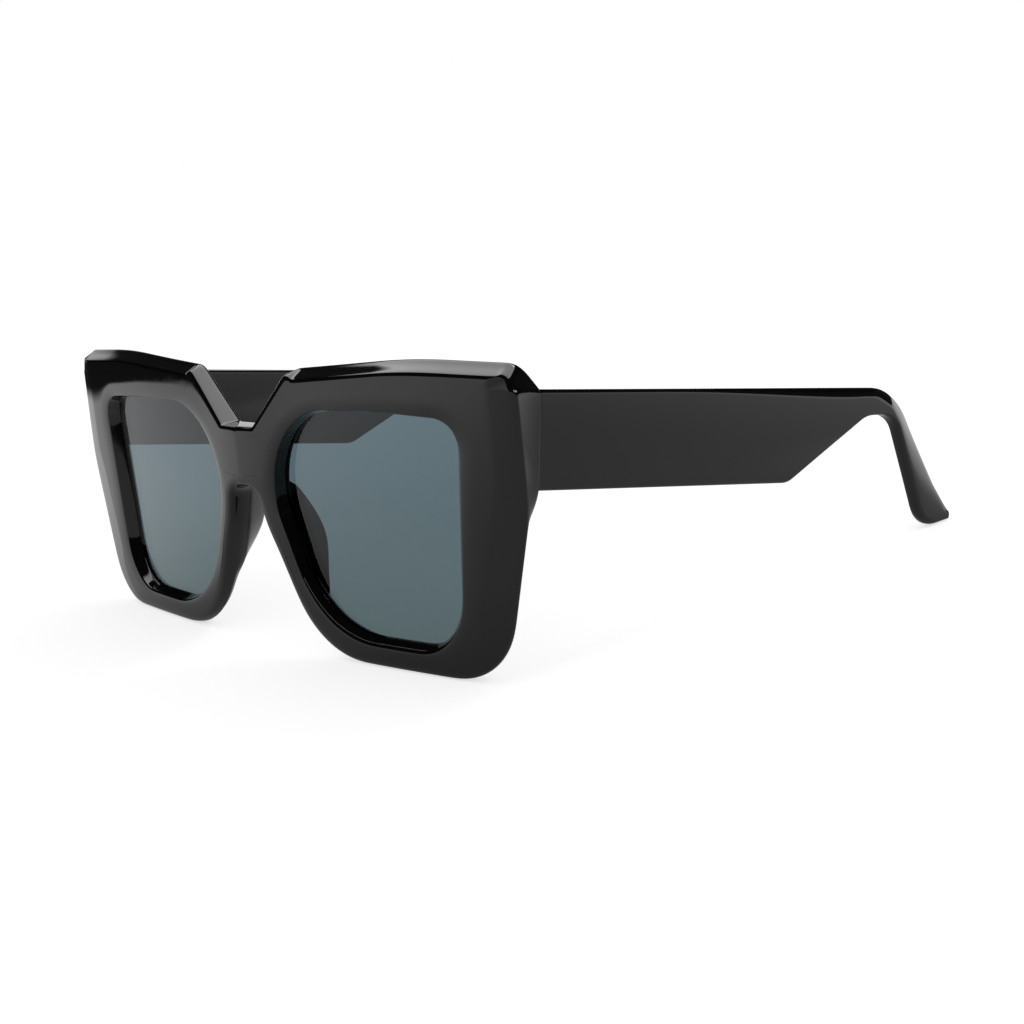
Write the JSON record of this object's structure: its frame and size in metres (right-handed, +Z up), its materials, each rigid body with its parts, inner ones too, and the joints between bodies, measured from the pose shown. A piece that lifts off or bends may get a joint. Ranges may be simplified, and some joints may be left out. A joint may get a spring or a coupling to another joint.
{
  "type": "oversized sunglasses",
  "caption": "Oversized gloss black sunglasses with a V notch over the bridge, smoke grey lenses, bonded nose pads and wide temples that fold on screwed hinges.",
  "frame": {"origin": "on the ground, under the middle of the glasses as they stand open on their rims and ear tips", "axes": "+X to the wearer's left, +Y from the lenses back along the temples, +Z up"},
  "size_m": [0.1474, 0.1444, 0.0606],
  "materials": {
    "black_gloss": "polished",
    "smoke_lens": "polished, see-through",
    "hinge_metal": "satin",
    "screw_metal": "bright",
    "core_metal": "satin"
  },
  "bodies": {
    "front": {"front_frame": "black_gloss", "left_lens": "smoke_lens", "left_nose_pad": "black_gloss", "left_front_hinge": "hinge_metal", "left_hinge_screw": "screw_metal", "left_front_hinge_screws": "screw_metal", "right_lens": "smoke_lens", "right_nose_pad": "black_gloss", "right_front_hinge": "hinge_metal", "right_hinge_screw": "screw_metal", "right_front_hinge_screws": "screw_metal"},
    "left_arm": {"left_temple": "black_gloss", "left_temple_core": "core_metal", "left_temple_hinge": "hinge_metal", "left_temple_hinge_screws": "screw_metal"},
    "right_arm": {"right_temple": "black_gloss", "right_temple_core": "core_metal", "right_temple_hinge": "hinge_metal", "right_temple_hinge_screws": "screw_metal"}
  },
  "joints": [
    {"name": "left_temple_fold", "type": "hinge", "parent": "front", "child": "left_arm", "pos_m": [0.06755, -0.058, 0.0455], "axis": [0, 0.1805, 0.9836], "range_deg": [0, 91]},
    {"name": "right_temple_fold", "type": "hinge", "parent": "front", "child": "right_arm", "pos_m": [-0.06755, -0.058, 0.0455], "axis": [0, -0.1805, -0.9836], "range_deg": [0, 78]}
  ]
}
